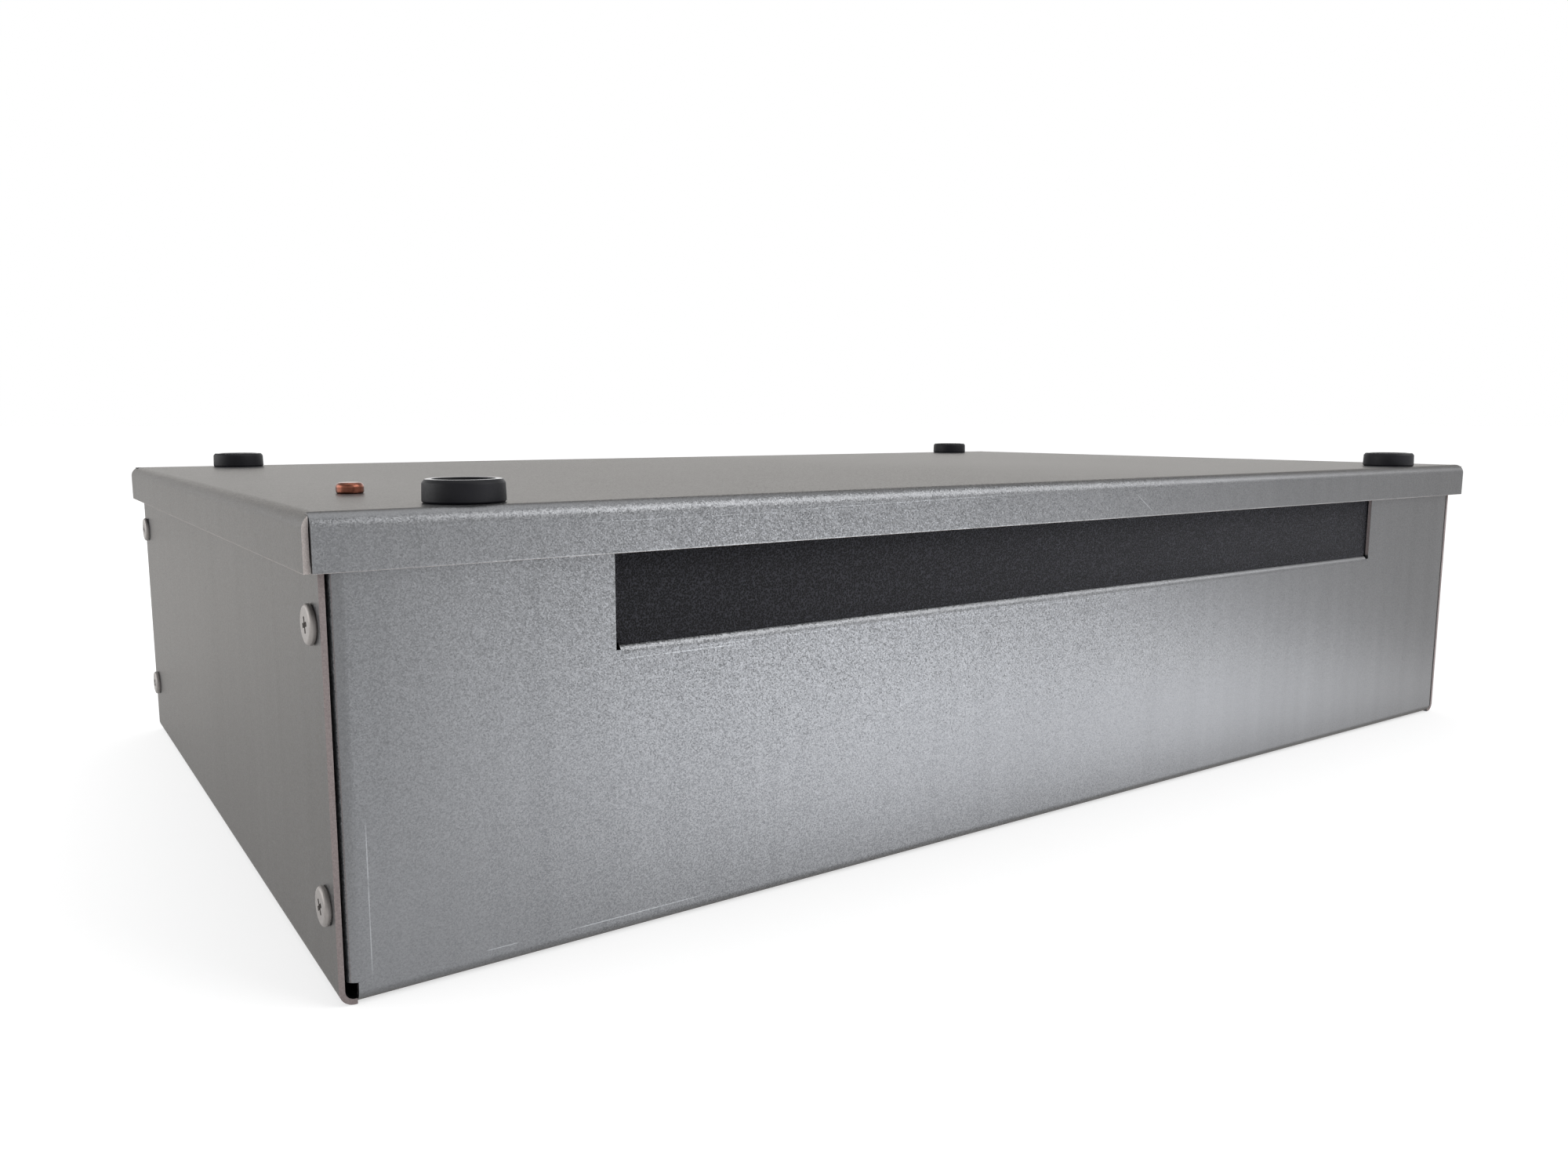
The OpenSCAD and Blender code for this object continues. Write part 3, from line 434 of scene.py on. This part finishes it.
def threaded_rod(bm, foot, diameter, pitch, length):
    """A rod with a real screw thread: a zigzag turned once about its axis while it climbs by one pitch, cut
    flat at both ends and chamfered at the top."""
    crest = diameter / 2
    depth = 0.61 * pitch
    root = crest - depth
    chamfer = 0.7 * pitch
    turn_steps = 36
    # Root, flank and crest of one turn, at shares of the pitch from the metric thread's profile
    profile = ((0, root), (0.25, root), (0.5625, crest), (0.6875, crest))
    rod = bmesh.new()
    points = []
    for turn in range(-1, math.ceil(length / pitch) + 1):
        for share, r in profile:
            points.append(rod.verts.new(Vector((r, 0, (turn + share) * pitch))))
    edges = [rod.edges.new(pair) for pair in zip(points, points[1:])]
    bmesh.ops.spin(rod, geom=points + edges, cent=(0, 0, 0), axis=(0, 0, 1), dvec=(0, 0, pitch / turn_steps),
                   angle=2 * math.pi, steps=turn_steps, use_merge=False)
    bmesh.ops.remove_doubles(rod, verts=rod.verts, dist=merge_mm)
    for height, side in ((0, -1), (length, 1)):
        bmesh.ops.bisect_plane(rod, geom=rod.verts[:] + rod.edges[:] + rod.faces[:], plane_co=(0, 0, height),
                               plane_no=(0, 0, side), clear_outer=True)
    bmesh.ops.holes_fill(rod, edges=[edge for edge in rod.edges if edge.is_boundary], sides=0)
    bmesh.ops.recalc_face_normals(rod, faces=rod.faces)
    for vert in rod.verts:
        room = crest - max(chamfer - (length - vert.co.z), 0)
        across = math.hypot(vert.co.x, vert.co.y)
        if across > room:
            vert.co.xy *= room / across
    bmesh.ops.transform(rod, verts=rod.verts, matrix=Matrix.Translation(foot) @ Matrix.Scale(MM, 4))
    mesh = bpy.data.meshes.new("rod")
    rod.to_mesh(mesh)
    rod.free()
    bm.from_mesh(mesh)
    bpy.data.meshes.remove(mesh)


for node, stud_d, pitch in (("rail_studs", 5.0, 0.8), ("bracket_studs", 4.0, 0.7)):
    low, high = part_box(node)
    bm = bmesh.new()
    for side in (-1, 1):
        foot = Vector((side * (high.x - stud_d / 2 * MM), (low.y + high.y) / 2, low.z))
        threaded_rod(bm, foot, stud_d, pitch, (high.z - low.z) / MM)
    studs = new_piece(bm, "threaded_" + node, bright, "case", flat=True)
    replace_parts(studs, node)

# Copper stud
# A contact of bare copper with a round button head, turned and held in the lid by a washer and a nut.
patch_mm = 1.5

# Bare copper is red-brown with a soft shine, slightly dulled by air in patches.
copper, tree, shader, place = new_material("bare_copper", **{"Metallic": 1.0})
dull = add_node(tree, "ShaderNodeTexNoise", {
    "Vector": place, "Scale": 1 / patch_mm, "Detail": 4.0}).outputs["Fac"]
vary(tree, shader, dull, ("#643c30", "#8a5848"), dull, (0.22, 0.38))
dress(copper, "copper_stud")

# Terminal rail and tie brackets
# A top-hat rail rolled from zinc-plated strip, and two brackets folded from zinc-coated sheet, each held on
# the floor by studs and nuts.
dress(tray_zinc, "terminal_rail", "tie_bracket_left", "tie_bracket_right")

# Rail terminals and end stops
# Moulded polyamide blocks that snap on the rail: grey for line, blue for neutral, green and yellow for
# earth. Dark grey stops hold the row at both ends.
rail_y = sum(corner.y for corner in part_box("terminal_rail")) / 2 / MM
green_half = 16.0


def polyamide(name, colours, ends=None):
    """Moulded polyamide with a spark-eroded texture, drawn coarser than it is, and a soft satin shine. Its
    ends can have another colour."""
    eroded_mm = 0.4
    eroded_depth_mm = 0.03
    flow_mm = 12.0
    material, tree, shader, place = new_material(name, **{"Specular IOR Level": 0.45})
    eroded = add_node(tree, "ShaderNodeTexNoise", {
        "Vector": place, "Scale": 1 / eroded_mm, "Detail": 3.0}).outputs["Fac"]
    flow = add_node(tree, "ShaderNodeTexNoise", {
        "Vector": place, "Scale": 1 / flow_mm, "Detail": 2.0}).outputs["Fac"]
    colour, _ = vary(tree, shader, flow, colours, eroded, (0.4, 0.58))
    if ends:
        along = add_node(tree, "ShaderNodeSeparateXYZ", {0: place}).outputs["Y"]
        out = add_node(tree, "ShaderNodeMath", {0: along, 1: rail_y}, operation="SUBTRACT").outputs[0]
        out = add_node(tree, "ShaderNodeMath", {0: out}, operation="ABSOLUTE").outputs[0]
        out = add_node(tree, "ShaderNodeMath", {0: out, 1: green_half}, operation="GREATER_THAN").outputs[0]
        colour = add_node(tree, "ShaderNodeMix", {"Factor": out, 6: colour, 7: linear(ends)},
                          data_type="RGBA").outputs[2]
        tree.links.new(colour, shader.inputs["Base Color"])
    bump = add_node(tree, "ShaderNodeBump", {
        "Height": eroded, "Strength": 0.25, "Distance": eroded_depth_mm * MM})
    tree.links.new(bump.outputs[0], shader.inputs["Normal"])
    return material


line_nodes = [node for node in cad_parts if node.startswith("line_terminal")]
neutral_nodes = [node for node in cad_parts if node.startswith("neutral_terminal")]
earth_nodes = [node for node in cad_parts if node.startswith("earth_terminal")]
dress(polyamide("grey_polyamide", ("#6e7175", "#7d8084")), *line_nodes, "end_plate")
dress(polyamide("blue_polyamide", ("#2f62a8", "#3d72b8")), *neutral_nodes)
dress(polyamide("green_polyamide", ("#3f8a3a", "#4f9c46"), "#d8c232"), *earth_nodes)
dress(polyamide("dark_grey_polyamide", ("#4a4d51", "#585b60")), "end_stop_left", "end_stop_right")

# Brass pieces
# Clamp screws, current bars and bridge bars of the terminals, turned or stamped, and the earth stud, which
# stands upright on the floor with its washers and nuts.
tarnish_mm = 2.0
earth_d = 6.0
earth_pitch = 1.0

# Plain brass is yellow with a soft shine, dulled in patches.
brass, tree, shader, place = new_material("plain_brass", **{"Metallic": 1.0})
dull = add_node(tree, "ShaderNodeTexNoise", {
    "Vector": place, "Scale": 1 / tarnish_mm, "Detail": 4.0}).outputs["Fac"]
vary(tree, shader, dull, ("#a5883f", "#cfb266"), dull, (0.25, 0.42))
dress(brass, "clamp_screws", "current_bars", "line_bridge", "neutral_bridge", "bridge_screws",
      "earth_washers", "earth_nuts")
earth_low, earth_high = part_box("earth_stud")
foot = Vector(((earth_low.x + earth_high.x) / 2, (earth_low.y + earth_high.y) / 2, earth_low.z))
bm = bmesh.new()
threaded_rod(bm, foot, earth_d, earth_pitch, (earth_high.z - earth_low.z) / MM)
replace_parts(new_piece(bm, "threaded_earth_stud", brass, "case", flat=True), "earth_stud")

# Floor
# A plain white floor that meets a white background. It shows white to the eye and keeps a soft shadow.
# Where the lamps light it most, at the front right, it needs less white of its own.
floor_reach = 40.0
floor_drop_mm = 0.1
lit_spot = (0.5, -0.6, 0)
lit_reach, far_reach = 0.2, 1.6
lit_glow, far_glow = 0.46, 0.77
bm = bmesh.new()
bmesh.ops.create_grid(bm, x_segments=1, y_segments=1, size=floor_reach)
bmesh.ops.translate(bm, verts=bm.verts, vec=(0, 0, -floor_drop_mm * MM))
floor_mesh = bpy.data.meshes.new("floor")
bm.to_mesh(floor_mesh)
bm.free()
floor = bpy.data.objects.new("floor", floor_mesh)
bpy.context.scene.collection.objects.link(floor)

# White paper is matt, with no shine. A glow that only the camera and shiny pieces see keeps it white.
paper = bpy.data.materials.new("white_paper")
paper.use_nodes = True
tree = paper.node_tree
tree.nodes.clear()
path = add_node(tree, "ShaderNodeLightPath").outputs
seen = strongest(tree, [path["Is Camera Ray"], path["Is Glossy Ray"], path["Is Transmission Ray"]])
spot = add_node(tree, "ShaderNodeTexCoord").outputs["Object"]
reach = add_node(tree, "ShaderNodeVectorMath", {0: spot, 1: lit_spot}, operation="DISTANCE").outputs["Value"]
glow = add_node(tree, "ShaderNodeMapRange", {
    "Value": reach, "From Min": lit_reach, "From Max": far_reach, "To Min": lit_glow,
    "To Max": far_glow}).outputs[0]
glow = add_node(tree, "ShaderNodeMath", {0: seen, 1: glow}, operation="MULTIPLY").outputs[0]
matt = add_node(tree, "ShaderNodeBsdfDiffuse", {"Color": linear("#b8b8b8")}).outputs[0]
light = add_node(tree, "ShaderNodeEmission", {"Color": linear("#ffffff"), "Strength": glow}).outputs[0]
both = add_node(tree, "ShaderNodeAddShader", {0: matt, 1: light}).outputs[0]
add_node(tree, "ShaderNodeOutputMaterial", {"Surface": both})
floor_mesh.materials.append(paper)

# Background and lamps
# White all round and darker above. Soft lamps stand overhead, behind, at the left and high at the front
# right, and two cards on the floor, one over the other, light the front wall from below.
white_rise, dark_rise = 0.37, 0.55
room_level = 0.55
world = bpy.data.worlds.new("white_room")
bpy.context.scene.world = world
world.use_nodes = True
tree = world.node_tree
tree.nodes.clear()
path = add_node(tree, "ShaderNodeLightPath").outputs
seen = strongest(tree, [path["Is Camera Ray"], path["Is Glossy Ray"], path["Is Transmission Ray"]])
way = add_node(tree, "ShaderNodeTexCoord").outputs["Generated"]
rise = add_node(tree, "ShaderNodeSeparateXYZ", {0: way}).outputs["Z"]
low = add_node(tree, "ShaderNodeMapRange", {
    "Value": rise, "From Min": white_rise, "From Max": dark_rise, "To Min": 1.0, "To Max": 0.0},
    interpolation_type="SMOOTHSTEP").outputs[0]
low = add_node(tree, "ShaderNodeMath", {0: low, 1: seen}, operation="MULTIPLY").outputs[0]
level = add_node(tree, "ShaderNodeMapRange", {"Value": low, "To Min": room_level, "To Max": 1.0}).outputs[0]
sky = add_node(tree, "ShaderNodeBackground", {"Color": linear("#ffffff"), "Strength": level}).outputs[0]
add_node(tree, "ShaderNodeOutputWorld", {"Surface": sky})


def lamp(name, at, aim, width, depth, watts, fade=None):
    """A soft rectangular lamp at one point, turned to another, unseen by the camera. A fade, given as a
    point and a reach in X and Y, makes it brightest at that point and dark at that reach."""
    light = bpy.data.lights.new(name, "AREA")
    light.shape = "RECTANGLE"
    light.size = width
    light.size_y = depth
    light.energy = watts
    if fade:
        centre, (reach_x, reach_y) = fade
        # The fade's mean over the lamp is 4/9, so this peak keeps the lamp's power.
        peak = 2.25
        light.use_nodes = True
        tree = light.node_tree
        tree.nodes.clear()
        spot = add_node(tree, "ShaderNodeNewGeometry").outputs["Position"]
        away = add_node(tree, "ShaderNodeVectorMath", {0: spot, 1: centre}, operation="SUBTRACT").outputs[0]
        away = add_node(tree, "ShaderNodeVectorMath", {0: away, 1: (reach_x, reach_y, 1)},
                        operation="DIVIDE").outputs[0]
        away = add_node(tree, "ShaderNodeVectorMath", {0: away, 1: away}, operation="MULTIPLY").outputs[0]
        left = add_node(tree, "ShaderNodeVectorMath", {0: (1, 1, 1), 1: away},
                        operation="SUBTRACT").outputs[0]
        x, y, _ = add_node(tree, "ShaderNodeSeparateXYZ", {0: left}).outputs
        share = add_node(tree, "ShaderNodeMath", {0: x, 1: y}, operation="MULTIPLY").outputs[0]
        share = add_node(tree, "ShaderNodeMath", {0: share, 1: peak}, operation="MULTIPLY").outputs[0]
        glow = add_node(tree, "ShaderNodeEmission", {
            "Color": linear("#f9fbff"), "Strength": share}).outputs[0]
        add_node(tree, "ShaderNodeOutputLight", {"Surface": glow})
    holder = bpy.data.objects.new(name, light)
    holder.location = at
    holder.rotation_euler = (Vector(aim) - Vector(at)).to_track_quat("-Z", "Y").to_euler()
    holder.visible_camera = False
    bpy.context.scene.collection.objects.link(holder)


lamp("overhead_lamp", (0.1, 0.1, 1.4), (0, 0, 0), 1.2, 1.2, 5.4)
lamp("rear_lamp", (0.96, 1.46, 0.45), (0, 0, 0.1), 3.0, 0.5, 3.4)
lamp("left_lamp", (-1.3, 0.5, 0.45), (-0.2, 0, 0.05), 1.4, 0.8, 9.5)
lamp("window_lamp", (0.82, -1.02, 1.05), (0, -0.13, 0.09), 1.2, 1.0, 15.0)
near_spot = (0.08, -0.30, 0.002)
wide_spot = (0.06, -0.1325, 0.001)
wide_middle = (0.06, -0.2225, 0.001)
lamp("near_card", near_spot, (*near_spot[:2], 1), 0.50, 0.32, 0.72, (near_spot, (0.25, 0.16)))
lamp("wide_card", wide_middle, (*wide_middle[:2], 1), 0.66, 0.18, 0.16, (wide_spot, (0.33, 0.18)))

# Camera
# Close to the front left corner and a little above the lid, with a wide lens, as in the photograph.
camera_at = (-0.2707, -0.3592, 0.1167)
camera_down = 7.738
camera_right = 34.205
camera = bpy.data.objects.new("camera", bpy.data.cameras.new("camera"))
camera.location = camera_at
camera.rotation_euler = (math.radians(90 - camera_down), 0, math.radians(-camera_right))
camera.data.sensor_width = 36
camera.data.lens = 26.633
camera.data.shift_x = 0.0153
camera.data.shift_y = -0.0050
camera.data.clip_start = 0.01
bpy.context.scene.collection.objects.link(camera)
bpy.context.scene.camera = camera
bpy.context.scene.view_settings.view_transform = "Standard"
